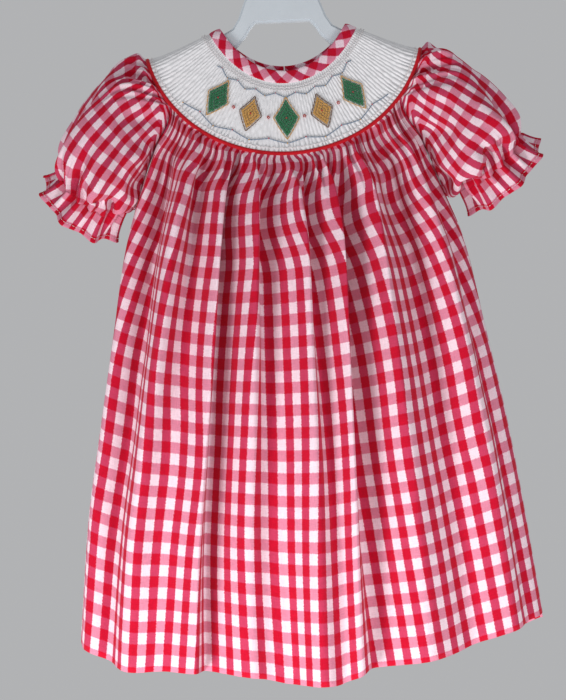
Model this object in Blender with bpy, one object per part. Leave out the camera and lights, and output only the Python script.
"""A child's smocked dress, hollow, hanging on a moulded hanger.

Metres, +Z up. The front faces -Y and the hanger lies in the plane Y = 0. The
origin is the inner top of the hook, where a rod carries it. Every height in
the tables below is measured from the neck level, NECK_LEVEL under the origin.

Cloth walls are worked out from rows. Each row follows a smooth base line, the
garment's outline, and folds raise it along that line's normal. The folds of a
row grow until its cloth is as wide as it was cut, so a narrow row gathers.
"""

import math

import bmesh
import bpy
import numpy as np

# Driving sizes
NECK_LEVEL = -0.108
CLOTH_WALL = 0.0024
SEAM_GAP = 0.00015  # each side of a seam, so that neighbours are 0.3 mm apart
GATHER_LIFT = 0.0022  # how far gathered cloth stands out from the seam it hangs from

# The yoke, as two bent rings: its neck edge (row 0) and the piping (row 1).
# The front and the back are arcs of ellipses that end at the shoulder fold.
RING_COLUMNS = ("half_width", "arc_height", "arc_centre", "fold_x", "fold_radius", "bulge")
FRONT_RINGS = (
    (0.0660, 0.0878, 0.0610, 0.0555, 0.0082, 0.0015),
    (0.1040, 0.0935, 0.0142, 0.1020, 0.0100, 0.0050),
)
BACK_RINGS = (
    (0.0660, 0.0741, 0.0536, 0.0555, 0.0082, 0.0010),
    (0.1040, 0.0844, 0.0124, 0.1020, 0.0100, 0.0030),
)
YOKE_WALL = 0.0014
YOKE_SEAM_AT = 1.08  # quarters round from the front centre, just behind the shoulder fold
FRONT_YOKE_PLEATS = 34
BACK_YOKE_PLEATS = 14  # in each half
PLEAT_RISE = 0.0010
YOKE_EDGE_ROW = 0.966
NECK_EDGE_ROW = -0.19
BINDING_WALL = 0.0024
PIPING_RADIUS = 0.0015
SKIRT_START_ROW = 1.044

# The back closing
PLACKET_HALF_WIDTH = 0.0060
PLACKET_WALL = 0.0012
BUTTON_RADIUS = 0.0052
BUTTON_THICKNESS = 0.0022
BUTTON_ROWS = (0.08, 0.42, 0.76)
CENTRE_BACK = 2.0

# The skirt's side edges: height under the neck level, and the edge left and right.
# The first two rows are the raglan seam, which ends at the underarm.
RAGLAN_AT = 0.68
SIDE_COLUMNS = ("height", "left", "right")
SIDE_EDGE = (
    (-0.036, 0.0870, 0.0870),
    (-0.112, 0.1150, 0.1170),
    (-0.145, 0.1245, 0.1290),
    (-0.212, 0.1370, 0.1425),
    (-0.280, 0.1495, 0.1555),
    (-0.347, 0.1610, 0.1655),
    (-0.433, 0.1700, 0.1765),
)
HEM_CENTRE = -0.467
HEM_RISE = 0.034
HEM_CURVE = 3.0

# How far the middle of the front and back stand off the hanger's plane
DEPTH_COLUMNS = ("down", "front", "back")
SKIRT_DEPTH = (
    (0.00, 0.0165, 0.0140),
    (0.06, 0.0230, 0.0180),
    (0.20, 0.0310, 0.0230),
    (0.50, 0.0410, 0.0290),
    (1.00, 0.0520, 0.0350),
)
SIDE_ROUNDING = 2.4

# The main folds, left to right: ridges above zero and valleys below it.
# Places are shares of the half width. Depths are at 10, 35, 65 and 100% down.
FOLD_COLUMNS = ("at_yoke", "at_hem", "depth_10", "depth_35", "depth_65", "depth_hem")
FRONT_FOLDS = (
    (-0.960, -0.960, 0.0020, 0.0030, 0.0030, 0.0020),
    (-0.860, -0.880, -0.0070, -0.0090, -0.0060, -0.0040),
    (-0.710, -0.780, 0.0060, 0.0090, 0.0080, 0.0060),
    (-0.590, -0.600, -0.0080, -0.0060, 0.0010, 0.0020),
    (-0.470, -0.490, 0.0050, 0.0070, 0.0080, 0.0070),
    (-0.390, -0.430, -0.0090, -0.0120, -0.0110, -0.0070),
    (-0.280, -0.280, 0.0050, 0.0070, 0.0050, 0.0030),
    (-0.140, -0.080, -0.0070, -0.0060, -0.0030, -0.0040),
    (0.020, 0.020, 0.0050, 0.0080, 0.0090, 0.0090),
    (0.120, 0.150, -0.0040, -0.0030, 0.0010, 0.0020),
    (0.230, 0.190, 0.0050, 0.0080, 0.0080, 0.0060),
    (0.330, 0.290, -0.0100, -0.0130, -0.0100, -0.0060),
    (0.490, 0.500, 0.0060, 0.0090, 0.0070, 0.0050),
    (0.670, 0.680, -0.0080, -0.0090, -0.0050, -0.0040),
    (0.850, 0.840, 0.0050, 0.0060, 0.0060, 0.0040),
    (0.940, 0.940, -0.0020, -0.0030, -0.0020, -0.0020),
)
BACK_FOLDS = (
    (-0.930, -0.930, -0.0020, -0.0030, -0.0030, -0.0020),
    (-0.800, -0.810, 0.0040, 0.0060, 0.0060, 0.0040),
    (-0.600, -0.620, -0.0070, -0.0080, -0.0060, -0.0040),
    (-0.420, -0.430, 0.0050, 0.0070, 0.0070, 0.0060),
    (-0.250, -0.260, -0.0070, -0.0080, -0.0070, -0.0050),
    (-0.090, -0.100, 0.0040, 0.0050, 0.0040, 0.0040),
    (0.000, 0.000, -0.0030, -0.0030, -0.0030, -0.0020),
    (0.120, 0.110, 0.0040, 0.0060, 0.0060, 0.0050),
    (0.300, 0.290, -0.0080, -0.0090, -0.0070, -0.0050),
    (0.480, 0.500, 0.0050, 0.0070, 0.0070, 0.0050),
    (0.660, 0.670, -0.0060, -0.0080, -0.0060, -0.0040),
    (0.850, 0.850, 0.0040, 0.0060, 0.0050, 0.0030),
    (0.940, 0.940, -0.0020, -0.0020, -0.0020, -0.0020),
)
FOLD_HEIGHTS = (0.0, 0.10, 0.35, 0.65, 1.0)

# Cloth widths between the side edges, at the yoke seam and from the underarm down
FRONT_WIDTHS = (0.310, 0.427)
BACK_WIDTHS = (0.280, 0.405)
UNDERARM_DOWN = 0.19
RAGLAN_DOWNS = np.array((0.19, 0.12, 0.06, 0.02, 0.0))
FRONT_GATHERS = 26
BACK_GATHERS = 20
SKIRT_ROWS = (0.0, 0.02, 0.06, 0.12, 0.19, 0.36, 0.64, 1.0)
GATHER_DEPTH = 0.0024
RIPPLE_DEPTH = 0.0014

# The sleeves. Each section is a bent ring from the shoulder end to the underarm
# end; its depth is across the sleeve, and its drop lowers the front half.
SLEEVE_COLUMNS = ("along", "outer_x", "outer_z", "inner_x", "inner_z", "half_depth", "front_drop")
LEFT_SLEEVE = (
    (0.26, 0.1240, -0.0100, 0.1180, -0.1130, 0.0290, 0.000),
    (0.50, 0.1440, -0.0325, 0.1205, -0.1150, 0.0370, 0.006),
    (0.75, 0.1585, -0.0570, 0.1225, -0.1140, 0.0345, 0.010),
    (0.90, 0.1645, -0.0720, 0.1245, -0.1095, 0.0255, 0.013),
    (1.00, 0.1625, -0.0830, 0.1275, -0.1170, 0.0225, 0.013),
)
RIGHT_SLEEVE = (
    (0.26, 0.1235, -0.0095, 0.1205, -0.1135, 0.0290, 0.000),
    (0.50, 0.1440, -0.0280, 0.1230, -0.1130, 0.0370, 0.004),
    (0.75, 0.1590, -0.0480, 0.1245, -0.1055, 0.0345, 0.007),
    (0.90, 0.1655, -0.0595, 0.1260, -0.0990, 0.0250, 0.009),
    (1.00, 0.1685, -0.0705, 0.1300, -0.1080, 0.0225, 0.009),
)
BACK_LIFT = 0.4  # how much of the front's drop the back half rises by
SLEEVE_GATHERS = 16
SLEEVE_WIDTHS = (0.300, 0.270)
SLEEVE_GATHER_DEPTH = 0.0030
SLEEVE_ROWS = (0.0, 0.07, 0.18, 0.34, 0.52, 0.72, 0.89, 1.0)
SLEEVE_FOLD_DEPTH = 0.0042
SLEEVE_FOLDS = 7
SLEEVE_SHIFT = 0.0006  # out from the raglan seam

# The frill below each cuff
FRILL_LENGTH = 0.0185
FRILL_WALL = 0.0018
FRILL_FLARE = 0.0085
FRILL_WAVES = 8
FRILL_WAVE_DEPTH = 0.0034
FRILL_ROWS = (0.0, 0.35, 0.70, 1.0)

# The hanger: half of its outline above and below, then the hook
HANGER_THICKNESS = 0.0080
HANGER_BEVEL = 0.0016
HANGER_TOP = (
    (0.0180, 0.0490),
    (0.0245, 0.0450),
    (0.0280, 0.0370),
    (0.0330, 0.0240),
    (0.0375, 0.0170),
    (0.0440, 0.0134),
    (0.0960, -0.0057),
)
HANGER_UNDER = (
    (0.0920, -0.0191),
    (0.0430, -0.0011),
    (0.0350, 0.0030),
    (0.0280, 0.0100),
    (0.0240, 0.0165),
    (0.0200, 0.0205),
)
TIP_RADIUS = 0.0070
HOOK_STEM_HALF_WIDTH = 0.0035
HOOK_CENTRE = 0.0910
HOOK_INNER_RADIUS = 0.0170
HOOK_OUTER_RADIUS = 0.0230
HOOK_END_DEGREES = 205
HOOK_STEPS = 20
STEM_FOOT = 0.0500

SAMPLES = 4  # fine samples of a row between two columns of its wall
ENDS = np.array([-1.0, 0.0, 1.0])


def named(columns, rows):
    """A table's columns by name."""
    return dict(zip(columns, np.array(rows, float).T))


def ease(x):
    x = np.clip(x, 0.0, 1.0)
    return x * x * (3 - 2 * x)


def blend(a, b, share):
    return a + (b - a) * share


def curve_through(knots, values, at):
    """A smooth curve that never overshoots its values."""
    knots, values = np.asarray(knots, float), np.asarray(values, float)
    step = np.diff(knots)
    rise = np.diff(values) / step
    slope = np.zeros(len(knots))
    same_way = rise[1:] * rise[:-1] > 0
    weight_a, weight_b = 2 * step[1:] + step[:-1], step[1:] + 2 * step[:-1]
    safe_a = np.where(same_way, rise[:-1], 1.0)
    safe_b = np.where(same_way, rise[1:], 1.0)
    mean = (weight_a + weight_b) / (weight_a / safe_a + weight_b / safe_b)
    slope[1:-1] = np.where(same_way, mean, 0.0)
    slope[0], slope[-1] = rise[0], rise[-1]
    at = np.clip(at, knots[0], knots[-1])
    i = np.clip(np.searchsorted(knots, at, side="right") - 1, 0, len(step) - 1)
    u = (at - knots[i]) / step[i]
    a = (1 + 2 * u) * (1 - u) ** 2 * values[i] + u * (1 - u) ** 2 * step[i] * slope[i]
    b = u * u * (3 - 2 * u) * values[i + 1] + u * u * (u - 1) * step[i] * slope[i + 1]
    return a + b


def lengths_along(points):
    steps = np.linalg.norm(np.diff(points, axis=0), axis=1)
    return np.concatenate([[0.0], np.cumsum(steps)])


def resample(points, at, wanted):
    return np.stack([np.interp(wanted, at, points[:, k]) for k in range(3)], axis=1)


def unit(v):
    return v / np.maximum(np.linalg.norm(v, axis=-1, keepdims=True), 1e-12)


def half_ring(row, quarters, rings, side):
    """Points of one half of a yoke ring. quarters runs from 0 at its centre to 1 at the fold."""
    table = named(RING_COLUMNS, rings)
    size = {name: blend(v[0], v[1], row) for name, v in table.items()}
    radius = size["fold_radius"]
    turn = np.linspace(0, math.asin(size["fold_x"] / size["half_width"]), 400)
    flat_x = size["half_width"] * np.sin(turn)
    flat_z = size["arc_centre"] - size["arc_height"] * np.cos(turn)
    steps = np.hypot(np.diff(flat_x), np.diff(flat_z))
    run = np.concatenate([[0.0], np.cumsum(steps)])
    quarter_turn = math.pi * radius / 2
    from_fold = (1 - quarters) * (run[-1] - radius + quarter_turn)
    angle = np.minimum(from_fold / radius, math.pi / 2)
    drop = np.where(
        from_fold < quarter_turn,
        radius * (1 - np.cos(angle)),
        radius + from_fold - quarter_turn,
    )
    x = np.interp(run[-1] - drop, run, flat_x)
    z = np.interp(run[-1] - drop, run, flat_z)
    y = radius * np.sin(angle) + size["bulge"] * ease(1 - quarters)
    return np.stack([x, side * y, z], axis=1)


def ring(row, quarters):
    """Points of a yoke ring. quarters is 0 at the front centre, 1 at the right fold, 2 behind."""
    quarters = np.asarray(quarters, float)
    round_by = np.abs(quarters)
    front = half_ring(row, np.clip(round_by, 0, 1), FRONT_RINGS, -1)
    back = half_ring(row, np.clip(2 - round_by, 0, 1), BACK_RINGS, 1)
    points = np.where((round_by <= 1)[:, None], front, back)
    points[:, 0] *= np.where(quarters < 0, -1, 1)
    return points


def ring_normals(row, quarters):
    """Directions that point out of the yoke."""
    small = 1e-3
    round_way = ring(row, quarters + small) - ring(row, quarters - small)
    down_way = ring(row + small, quarters) - ring(row - small, quarters)
    return unit(np.cross(round_way, down_way)) * np.where(
        np.abs(quarters[:, None]) < 1e9, -1, 1
    )


def yoke_grid(rows, quarters, lift):
    """Rows of points on the yoke, moved out by lift, one value for each column."""
    return np.stack(
        [ring(r, quarters) + ring_normals(r, quarters) * lift[:, None] for r in rows]
    )


def side_x(height, side):
    table = named(SIDE_COLUMNS, SIDE_EDGE)
    edge = table["left"] if side < 0 else table["right"]
    return side * curve_through(-table["height"], edge, -height)


def base_row(down, front, spread):
    """The smooth line that a skirt row follows. spread runs from -1 at the left edge to 1."""
    side = -1 if front else 1
    quarters = spread * RAGLAN_AT
    if not front:
        quarters = np.where(spread < 0, -CENTRE_BACK, CENTRE_BACK) - quarters
        quarters = np.where(spread == 0, CENTRE_BACK, quarters)
    start = ring(SKIRT_START_ROW, quarters)
    seam_edge = -0.036
    hem = HEM_CENTRE + HEM_RISE * np.abs(spread) ** HEM_CURVE
    z = start[:, 2] + (hem - start[:, 2]) * down
    edge_z = seam_edge + (HEM_CENTRE + HEM_RISE - seam_edge) * down
    share = blend(start[:, 0] / abs(start[0, 0]), spread, ease(down / 0.35))
    edge = np.where(spread < 0, abs(side_x(edge_z, -1)), abs(side_x(edge_z, 1)))
    start_edge = abs(start[0, 0])
    edge = blend(start_edge, edge, ease(down / 0.08))
    x = share * edge
    depth = named(DEPTH_COLUMNS, SKIRT_DEPTH)
    middle = curve_through(depth["down"], depth["front" if front else "back"], down)
    raglan_y = abs(start[0, 1]) * (1 - ease(down / UNDERARM_DOWN))
    power = blend(1.0, 0.55, ease(down / UNDERARM_DOWN))
    round_off = (1 - np.abs(share) ** SIDE_ROUNDING).clip(0, 1) ** power
    y = raglan_y + (middle - raglan_y) * round_off
    y = blend(np.abs(start[:, 1]), y, ease(down / 0.10))
    return np.stack([x, side * (y + SEAM_GAP), z], axis=1)


def places_across(count):
    """Places from -1 at the left edge to 1, a little closer together at the edges."""
    even = np.linspace(-1, 1, count)
    return even, 0.75 * even + 0.25 * np.sin(math.pi * even / 2)


def base_with_normals(down, front, spread):
    points = base_row(down, front, spread)
    small = 0.004
    lower = base_row(min(down + small, 1.0), front, spread)
    upper = base_row(max(down - small, 0.0), front, spread)
    across = np.gradient(points, axis=0)
    normal = unit(np.cross(across, lower - upper))
    return points, normal * (-1 if front else 1)


def main_folds(table_rows, down, spread):
    """How far the main folds raise the cloth at each place across a row."""
    table = named(FOLD_COLUMNS, table_rows)
    places = blend(table["at_yoke"], table["at_hem"], ease(down))
    names = ("depth_10", "depth_35", "depth_65", "depth_hem")
    depths = [table["depth_10"] * 0.15] + [table[n] for n in names]
    depth = np.array([curve_through(FOLD_HEIGHTS, d, down) for d in np.transpose(depths)])
    places = np.concatenate([[-1.0], places, [1.0]])
    depth = np.concatenate([[0.0], depth, [0.0]])
    return curve_through(places, depth, spread)


def gather_waves(even, count, down):
    """Small uneven gathers under the seam, half as many soft ripples further down."""
    share = (even + 1) / 2
    swell = 0.78 + 0.22 * np.sin(2 * math.pi * (3.1 * share + 0.2))
    fine = GATHER_DEPTH * np.cos(2 * math.pi * count * share) * swell
    turned = math.pi * count * share + 0.9 * np.sin(2 * math.pi * 2.3 * share)
    wide = RIPPLE_DEPTH * np.cos(turned) * ease((down - 0.04) / 0.2) * blend(1.0, 0.35, down)
    return (fine * (1 - ease(down / 0.24)) + wide) * ease((1 - np.abs(even)) / 0.06)


def folded_row(base, normals, heights, width, lift):
    """Cloth standing over a base line in folds that grow until the row is as long as the cloth."""
    low, high = 0.1, 3.0
    for _ in range(24):
        size = (low + high) / 2
        points = base + normals * (size * heights + lift)[:, None]
        if lengths_along(points)[-1] < width:
            low = size
        else:
            high = size
    return points


def skirt_row(down, front, count):
    """One row of the front or back skirt: raised points and the way out at each."""
    even, spread = places_across(count)
    base, normals = base_with_normals(down, front, spread)
    top_width, width = FRONT_WIDTHS if front else BACK_WIDTHS
    width = blend(top_width, width, ease(down / UNDERARM_DOWN))
    gathers, folds = (FRONT_GATHERS, FRONT_FOLDS) if front else (BACK_GATHERS, BACK_FOLDS)
    heights = main_folds(folds, down, spread) + gather_waves(even, gathers, down)
    lift = GATHER_LIFT * ease(down / 0.03) * ease((1 - np.abs(even)) / 0.06)
    return folded_row(base, normals, heights, width, lift), normals


def skirt_grids(front):
    """Outer and inner points of a skirt panel, in rows from the yoke to the hem."""
    columns = (FRONT_GATHERS if front else BACK_GATHERS) * 4
    outer, inner = [], []
    for down in SKIRT_ROWS:
        points, out = skirt_row(down, front, columns * SAMPLES + 1)
        points, out = points[::SAMPLES], out[::SAMPLES].copy()
        for column in (0, -1):
            side = 1 if points[column, 0] > 0 else -1
            if down <= UNDERARM_DOWN:
                out[column] = seam_out(side, front, down)
            else:
                out[column] = (side, 0.0, 0.0)
        outer.append(points)
        inside = points - out * CLOTH_WALL
        half = np.minimum if front else np.maximum
        inside[:, 1] = half(inside[:, 1], -SEAM_GAP if front else SEAM_GAP)
        inner.append(inside)
    return np.array(outer), np.array(inner)


def raglan_seam(side, front):
    """The skirt's edge from the underarm up to the piping."""
    edge = 2 if side > 0 else 0
    return np.array([base_row(d, front, ENDS)[edge] for d in RAGLAN_DOWNS])


def armhole_loop(side):
    """The loop where a sleeve joins: underarm, front raglan, over the shoulder, back raglan."""
    quarters = np.linspace(RAGLAN_AT, CENTRE_BACK - RAGLAN_AT, 60) * side
    shoulder = ring(SKIRT_START_ROW, quarters)
    front_half = np.concatenate([raglan_seam(side, True), shoulder[1:30]])
    back_half = np.concatenate([shoulder[30:-1], raglan_seam(side, False)[::-1]])
    loop = np.concatenate([front_half, back_half])
    run = lengths_along(loop)
    top = run[len(front_half) - 1]
    behind = 0.5 + 0.5 * (run - top) / (run[-1] - top)
    return loop, np.where(run <= top, 0.5 * run / top, behind)


def seam_outs(side, front):
    """Ways out along a raglan seam, half way between the skirt's and the sleeve's."""
    _, share = armhole_loop(side)
    count = len(RAGLAN_DOWNS)
    at = share[:count] if front else share[::-1][:count]
    around = np.linspace(0, 1, 361)
    sleeve = sleeve_normals(side, 0.0, around)
    sleeve = resample(sleeve, around, at)
    edge = -1 if side > 0 else 0
    _, spread = places_across(105)
    skirt = np.array([base_with_normals(d, front, spread)[1][edge] for d in RAGLAN_DOWNS])
    return at, unit(unit(sleeve) + skirt)


def seam_out(side, front, down):
    _, out = seam_outs(side, front)
    return out[np.argmin(np.abs(RAGLAN_DOWNS - down))]


def sleeve_section(row, side, around):
    """A ring round the sleeve, from the underarm end through the front to the shoulder end."""
    _, outer_x, outer_z, inner_x, inner_z, half_depth, front_drop = row
    outer = np.array([side * outer_x, 0.0, outer_z])
    inner = np.array([side * inner_x, 0.0, inner_z])
    middle, half = (outer + inner) / 2, (inner - outer) / 2
    turn = 2 * math.pi * around
    along = unit(np.array([-side * half[2], 0.0, side * half[0]]))
    ring_points = middle + np.cos(turn)[:, None] * half
    ring_points[:, 1] -= half_depth * np.sin(turn)
    drop = front_drop * np.sin(turn) * np.where(np.sin(turn) > 0, 1.0, BACK_LIFT)
    return ring_points + drop[:, None] * along


def sleeve_base(side, along, around):
    """A smooth ring of the sleeve at a share of the way from the armhole to the cuff."""
    table = LEFT_SLEEVE if side < 0 else RIGHT_SLEEVE
    loop, share = armhole_loop(side)
    first = resample(loop, share, around)
    rings = np.array([first] + [sleeve_section(r, side, around) for r in table])
    places = np.array([0.0] + [r[0] for r in table])
    i = int(np.clip(np.searchsorted(places, along, side="right") - 1, 0, len(places) - 2))
    before, after = max(i - 1, 0), min(i + 2, len(places) - 1)
    span = places[i + 1] - places[i]
    u = (along - places[i]) / span
    start_slope = (rings[i + 1] - rings[before]) / (places[i + 1] - places[before]) * span
    end_slope = (rings[after] - rings[i]) / (places[after] - places[i]) * span
    return (
        (1 + 2 * u) * (1 - u) ** 2 * rings[i]
        + u * (1 - u) ** 2 * start_slope
        + u * u * (3 - 2 * u) * rings[i + 1]
        + u * u * (u - 1) * end_slope
    )


def sleeve_normals(side, along, around):
    small = 0.01
    base = sleeve_base(side, along, around)
    lower = sleeve_base(side, min(along + small, 1.0), around)
    upper = sleeve_base(side, max(along - small, 0.0), around)
    round_way = np.gradient(base, axis=0)
    round_way[0] = round_way[-1] = base[1] - base[-2]
    return -side * unit(np.cross(round_way, lower - upper))


def cuff_axis(side):
    """The way the cuff faces, square to its ring."""
    _, outer_x, outer_z, inner_x, inner_z, half_depth, drop = (
        LEFT_SLEEVE if side < 0 else RIGHT_SLEEVE
    )[-1]
    wide = math.hypot(outer_x - inner_x, outer_z - inner_z)
    back = wide * drop * (1 + BACK_LIFT) / 2 / half_depth
    return unit(np.array([side * (outer_z - inner_z), back, inner_x - outer_x]))


def sleeve_row(side, along, count):
    """One ring of a sleeve, gathered: raised points, the way out, and the base ring."""
    around = np.linspace(0, 1, count)
    base = sleeve_base(side, along, around)
    normal = sleeve_normals(side, along, around)
    if along == 1.0:
        axis = cuff_axis(side)
        normal = unit(normal - axis * (normal @ axis)[:, None])
    at_seam = ease((around - 0.345) / 0.04) * ease((0.655 - around) / 0.04)
    window = blend(at_seam, 1.0, ease(along / 0.3))
    swell = 0.8 + 0.2 * np.cos(2 * math.pi * 3 * around + 1.0)
    share = 1 - 0.72 * ease(along / 0.3) * ease((1 - along) / 0.3)
    waves = np.cos(2 * math.pi * SLEEVE_GATHERS * around) * swell * window
    waves = waves * SLEEVE_GATHER_DEPTH * share
    fold = SLEEVE_FOLD_DEPTH * ease(along / 0.25) * ease((1 - along) / 0.15)
    turned = 2 * math.pi * (SLEEVE_FOLDS * around + 0.12 * np.sin(4 * math.pi * around))
    under = ease(around / 0.08) * ease((1 - around) / 0.08)
    heights = waves + fold * np.sin(turned + side * 0.8) * under
    lift = GATHER_LIFT * 0.8 * ease(along / 0.08) * window
    width = blend(*SLEEVE_WIDTHS, ease(along / 0.35))
    return folded_row(base, normal, heights, width, lift), normal, base


def sleeve_grids(side):
    columns = SLEEVE_GATHERS * 4
    outer, inner = [], []
    for along in SLEEVE_ROWS:
        points, out, _ = sleeve_row(side, along, columns * SAMPLES + 1)
        points, out = points[:-1:SAMPLES], out[:-1:SAMPLES].copy()
        if along == 0.0:
            around = np.arange(columns) / columns
            for front in (True, False):
                at, seam = seam_outs(side, front)
                near = (around <= at.max()) if front else (around >= at.min())
                order = np.argsort(at)
                found = resample(seam[order], at[order], around)
                out[near] = found[near]
        outer.append(points)
        inner.append(points - out * CLOTH_WALL)
    return np.array(outer), np.array(inner)


def frill_grids(side):
    """The frill: it starts in the cuff's gathers and opens into wider waves."""
    columns = SLEEVE_GATHERS * 4
    cuff, out, base = sleeve_row(side, 1.0, columns * SAMPLES + 1)
    cuff, out, base = cuff[:-1:SAMPLES], out[:-1:SAMPLES], base[:-1:SAMPLES]
    axis = cuff_axis(side)
    gathers = ((cuff - base) * out).sum(axis=1)
    share = np.arange(columns) / columns
    wave = np.cos(2 * math.pi * FRILL_WAVES * share + 0.5 * np.sin(2 * math.pi * share))
    outer, inner = [], []
    for down in FRILL_ROWS:
        height = gathers * (1 - 0.75 * ease(down)) + FRILL_FLARE * down**1.3
        height = height + FRILL_WAVE_DEPTH * wave * down**1.3
        points = base + axis * (2 * SEAM_GAP + FRILL_LENGTH * down) + out * height[:, None]
        outer.append(points)
        inner.append(points - out * FRILL_WALL)
    return np.array(outer), np.array(inner)


def grid_faces(rows, columns, first, closed, flip):
    faces = []
    last = columns if closed else columns - 1
    for i in range(rows - 1):
        for j in range(last):
            k = (j + 1) % columns
            face = [first + i * columns + j, first + i * columns + k]
            face += [first + (i + 1) * columns + k, first + (i + 1) * columns + j]
            faces.append(face[::-1] if flip else face)
    return faces


def rim_faces(outer, inner, closed):
    """Faces between an outer edge and an inner edge that has a whole share of its points."""
    ratio = len(outer) // len(inner) if closed else (len(outer) - 1) // (len(inner) - 1)
    faces = []
    for k in range(len(inner) if closed else len(inner) - 1):
        here, there = inner[k], inner[(k + 1) % len(inner)]
        stretch = [outer[(k * ratio + m) % len(outer)] for m in range(ratio + 1)]
        half = ratio // 2
        for m in range(ratio):
            tip = here if m < half or ratio == 1 else there
            faces.append([stretch[m], stretch[m + 1], tip])
        faces.append([stretch[half] if ratio > 1 else stretch[1], there, here])
    return faces


def wall_mesh(name, outer, inner, closed=False):
    """A closed wall between two grids of rows. The inner one may have fewer columns."""
    rows, wide = outer.shape[:2]
    narrow = inner.shape[1]
    points = np.concatenate([outer.reshape(-1, 3), inner.reshape(-1, 3)])
    start = rows * wide
    faces = grid_faces(rows, wide, 0, closed, False)
    faces += grid_faces(rows, narrow, start, closed, True)
    for i in (0, rows - 1):
        out_edge = [i * wide + j for j in range(wide)]
        in_edge = [start + i * narrow + j for j in range(narrow)]
        faces += rim_faces(out_edge, in_edge, closed)
    if not closed:
        for out_j, in_j in ((0, 0), (wide - 1, narrow - 1)):
            for i in range(rows - 1):
                a, b = i * wide + out_j, (i + 1) * wide + out_j
                c, d = start + (i + 1) * narrow + in_j, start + i * narrow + in_j
                faces.append([a, b, c, d])
    return solid(name, points, faces)


def solid(name, points, faces):
    """An object from points and faces, with its faces turned outwards."""
    points = np.array(points, float)
    points[:, 2] += NECK_LEVEL
    mesh = bpy.data.meshes.new(name)
    mesh.from_pydata([tuple(p) for p in points], [], [tuple(f) for f in faces])
    work = bmesh.new()
    work.from_mesh(mesh)
    bmesh.ops.recalc_face_normals(work, faces=work.faces)
    if work.calc_volume(signed=True) < 0:
        bmesh.ops.reverse_faces(work, faces=work.faces)
    work.to_mesh(mesh)
    work.free()
    mesh.shade_smooth()
    made = bpy.data.objects.new(name, mesh)
    bpy.context.scene.collection.objects.link(made)
    return made


def material(name, colour, roughness, metallic=0.0):
    made = bpy.data.materials.new(name)
    made.use_nodes = True
    shader = made.node_tree.nodes["Principled BSDF"]
    shader.inputs["Base Color"].default_value = (*colour, 1.0)
    shader.inputs["Roughness"].default_value = roughness
    shader.inputs["Metallic"].default_value = metallic
    return made


def clear_scene():
    for thing in list(bpy.data.objects):
        bpy.data.objects.remove(thing, do_unlink=True)


def tube_mesh(name, path, outward, radius, sides):
    """A tube with flat ends along a path. outward points away from the cloth at each point."""
    along = unit(np.gradient(path, axis=0))
    up = unit(outward - along * (outward * along).sum(axis=1, keepdims=True))
    across = np.cross(along, up)
    turn = np.arange(sides) * 2 * math.pi / sides
    rings = [
        path + radius * (math.cos(a) * up + math.sin(a) * across) for a in turn
    ]
    grid = np.stack(rings, axis=1)
    rows = len(path)
    faces = grid_faces(rows, sides, 0, True, False)
    faces.append(list(range(sides)))
    faces.append([(rows - 1) * sides + j for j in range(sides)][::-1])
    return solid(name, grid.reshape(-1, 3), faces)


def ring_places(first, last, count):
    """Places round a ring, closer together over each shoulder fold."""
    fine = np.linspace(first, last, 4001)
    near_fold = np.exp(-(((np.abs(fine) - 1) / 0.06) ** 2))
    run = np.concatenate([[0.0], np.cumsum(1 + 2.0 * (near_fold[1:] + near_fold[:-1]) / 2)])
    return np.interp(np.linspace(0, run[-1], count), run, fine)


def smocked_yoke(name, first, last, pleats):
    """A yoke piece: pleats raised outside, a plain inside."""
    rows = np.array([0.006, 0.25, 0.50, 0.75, YOKE_EDGE_ROW])
    quarters = ring_places(first, last, pleats * 2 + 1)
    lift = PLEAT_RISE * (np.arange(len(quarters)) % 2)
    outer = yoke_grid(rows, quarters, lift)
    inner = yoke_grid(rows, quarters[::2], np.full(len(quarters[::2]), -YOKE_WALL))
    return wall_mesh(name, outer, inner)


def build_yoke(white):
    """Front yoke, over both shoulders, and the two halves of the back."""
    edge = 0.0016
    front = smocked_yoke("yoke_front", -YOKE_SEAM_AT, YOKE_SEAM_AT, FRONT_YOKE_PLEATS)
    start, end = YOKE_SEAM_AT + 2 * edge, CENTRE_BACK - edge
    right = smocked_yoke("yoke_back_right", start, end, BACK_YOKE_PLEATS)
    left = smocked_yoke("yoke_back_left", -end, -start, BACK_YOKE_PLEATS)
    for piece in (front, right, left):
        piece.data.materials.append(white)


def build_binding(cloth):
    """The bias band round the neck, open at the centre back."""
    rows = np.array([NECK_EDGE_ROW, NECK_EDGE_ROW / 2, -0.006])
    quarters = ring_places(-CENTRE_BACK + 0.004, CENTRE_BACK - 0.004, 49)
    outer = yoke_grid(rows, quarters, np.full(49, 0.0008))
    inner = yoke_grid(rows, quarters, np.full(49, 0.0008 - BINDING_WALL))
    wall_mesh("neck_binding", outer, inner).data.materials.append(cloth)


def build_piping(red):
    quarters = ring_places(-CENTRE_BACK + 0.003, CENTRE_BACK - 0.003, 69)
    path = ring(1.0, quarters)
    out = ring_normals(1.0, quarters)
    tube_mesh("yoke_piping", path, out, PIPING_RADIUS, 6).data.materials.append(red)


def build_placket(white, button_white):
    """A narrow band over the centre back edges, with its buttons."""
    rows = np.linspace(0.012, YOKE_EDGE_ROW - 0.006, 5)
    outer, inner = [], []
    clear = PLEAT_RISE + 2 * SEAM_GAP
    across = np.linspace(-1, 1, 5) * PLACKET_HALF_WIDTH
    for row in rows:
        middle, out = placket_place(row)
        line = middle + np.stack([across, np.zeros(5), np.zeros(5)], axis=1)
        inner.append(line + out * clear)
        outer.append(line + out * (clear + PLACKET_WALL))
    wall_mesh("back_placket", np.array(outer), np.array(inner)).data.materials.append(white)
    for number, row in enumerate(BUTTON_ROWS, start=1):
        middle, out = placket_place(row)
        lift = clear + PLACKET_WALL + 2 * SEAM_GAP + BUTTON_THICKNESS / 2
        build_button(f"button_{number}", middle + out * lift, out, button_white)


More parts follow.
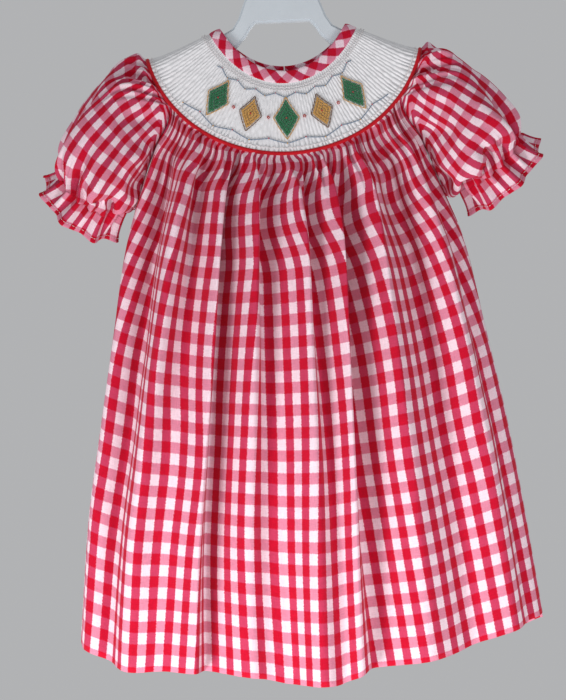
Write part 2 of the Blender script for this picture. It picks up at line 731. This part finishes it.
def placket_place(row):
    """A point down the centre back of the yoke and the way out from it."""
    end = [ring(r, np.array([CENTRE_BACK]))[0] for r in (row, 0.0, 1.0)]
    down = unit(end[2] - end[1])
    return end[0], unit(np.array([0.0, -down[2], down[1]]))


def build_button(name, middle, out, finish):
    mesh = bpy.data.meshes.new(name)
    work = bmesh.new()
    bmesh.ops.create_cone(
        work,
        cap_ends=True,
        segments=14,
        radius1=BUTTON_RADIUS,
        radius2=BUTTON_RADIUS,
        depth=BUTTON_THICKNESS,
    )
    rim = [e for e in work.edges if abs(e.verts[0].co.z - e.verts[1].co.z) < 1e-6]
    bmesh.ops.bevel(work, geom=rim, offset=0.0005, segments=1, affect="EDGES")
    work.to_mesh(mesh)
    work.free()
    mesh.shade_smooth()
    mesh.set_sharp_from_angle(angle=math.radians(50))
    button = bpy.data.objects.new(name, mesh)
    button.location = (middle[0], middle[1], middle[2] + NECK_LEVEL)
    button.rotation_euler = (math.atan2(-out[1], out[2]), 0, 0)
    bpy.context.scene.collection.objects.link(button)
    button.data.materials.append(finish)


def build_skirt(cloth):
    outer, inner = skirt_grids(True)
    wall_mesh("skirt_front", outer, inner).data.materials.append(cloth)
    outer, inner = skirt_grids(False)
    middle = outer.shape[1] // 2
    for name, part, side in (
        ("skirt_back_left", slice(0, middle + 1), -1),
        ("skirt_back_right", slice(middle, None), 1),
    ):
        out_half, in_half = outer[:, part].copy(), inner[:, part].copy()
        centre_column = -1 if side < 0 else 0
        for grid in (out_half, in_half):
            grid[:, centre_column, 0] += side * SEAM_GAP
        wall_mesh(name, out_half, in_half).data.materials.append(cloth)


def build_sleeves(cloth):
    for side, word in ((-1, "left"), (1, "right")):
        outer, inner = sleeve_grids(side)
        shift = np.array([side * SLEEVE_SHIFT, 0.0, 0.0])
        sleeve = wall_mesh(f"sleeve_{word}", outer + shift, inner + shift, closed=True)
        sleeve.data.materials.append(cloth)
        outer, inner = frill_grids(side)
        frill = wall_mesh(f"sleeve_frill_{word}", outer + shift, inner + shift, closed=True)
        frill.data.materials.append(cloth)


def hanger_outline():
    """The moulded hanger and its hook as one outline, anticlockwise seen from the front."""
    top = list(HANGER_TOP)
    under = list(HANGER_UNDER)
    tip_centre = ((top[-1][0] + under[0][0]) / 2, (top[-1][1] + under[0][1]) / 2)
    lean = math.atan2(top[-1][1] - under[0][1], top[-1][0] - under[0][0])
    tip = [
        (
            tip_centre[0] + TIP_RADIUS * math.cos(lean - math.pi * k / 6),
            tip_centre[1] + TIP_RADIUS * math.sin(lean - math.pi * k / 6),
        )
        for k in range(1, 6)
    ]
    right = top + tip + under
    left = [(-x, z) for x, z in right]
    stem = HOOK_STEM_HALF_WIDTH
    first = math.asin(-math.sqrt(HOOK_OUTER_RADIUS**2 - stem**2) / HOOK_OUTER_RADIUS)
    last = math.radians(HOOK_END_DEGREES)
    inner_first = -math.pi - math.asin(
        -math.sqrt(HOOK_INNER_RADIUS**2 - stem**2) / HOOK_INNER_RADIUS
    )
    outer_arc = [
        (HOOK_OUTER_RADIUS * math.cos(a), HOOK_CENTRE + HOOK_OUTER_RADIUS * math.sin(a))
        for a in np.linspace(first, last, HOOK_STEPS)
    ]
    inner_arc = [
        (HOOK_INNER_RADIUS * math.cos(a), HOOK_CENTRE + HOOK_INNER_RADIUS * math.sin(a))
        for a in np.linspace(last, inner_first, HOOK_STEPS)
    ]
    hook = [(stem, STEM_FOOT)] + outer_arc + inner_arc + [(-stem, STEM_FOOT)]
    return hook + left + right[::-1]


def build_hanger(plastic):
    outline = hanger_outline()
    mesh = bpy.data.meshes.new("hanger")
    work = bmesh.new()
    half = HANGER_THICKNESS / 2
    front = [work.verts.new((x, -half, z + NECK_LEVEL)) for x, z in outline]
    face = work.faces.new(front)
    pushed = bmesh.ops.extrude_face_region(work, geom=[face])
    moved = [v for v in pushed["geom"] if isinstance(v, bmesh.types.BMVert)]
    bmesh.ops.translate(work, verts=moved, vec=(0, HANGER_THICKNESS, 0))
    bmesh.ops.recalc_face_normals(work, faces=work.faces)
    edges = [e for e in work.edges if abs(e.verts[0].co.y - e.verts[1].co.y) < 1e-6]
    bmesh.ops.bevel(work, geom=edges, offset=HANGER_BEVEL, segments=1, affect="EDGES")
    bmesh.ops.triangulate(work, faces=work.faces)
    work.to_mesh(mesh)
    work.free()
    mesh.shade_smooth()
    mesh.set_sharp_from_angle(angle=math.radians(40))
    hanger = bpy.data.objects.new("hanger", mesh)
    bpy.context.scene.collection.objects.link(hanger)
    hanger.data.materials.append(plastic)


def main():
    clear_scene()
    gingham = material("red_check_cotton", (0.62, 0.05, 0.10), 0.85)
    red = material("red_piping_cotton", (0.55, 0.01, 0.03), 0.8)
    white = material("white_smocked_cotton", (0.85, 0.86, 0.86), 0.85)
    plastic = material("white_plastic", (0.80, 0.81, 0.84), 0.35)
    button_white = material("white_button", (0.86, 0.86, 0.85), 0.3)
    build_yoke(white)
    build_binding(gingham)
    build_piping(red)
    build_placket(white, button_white)
    build_skirt(gingham)
    build_sleeves(gingham)
    build_hanger(plastic)


main()
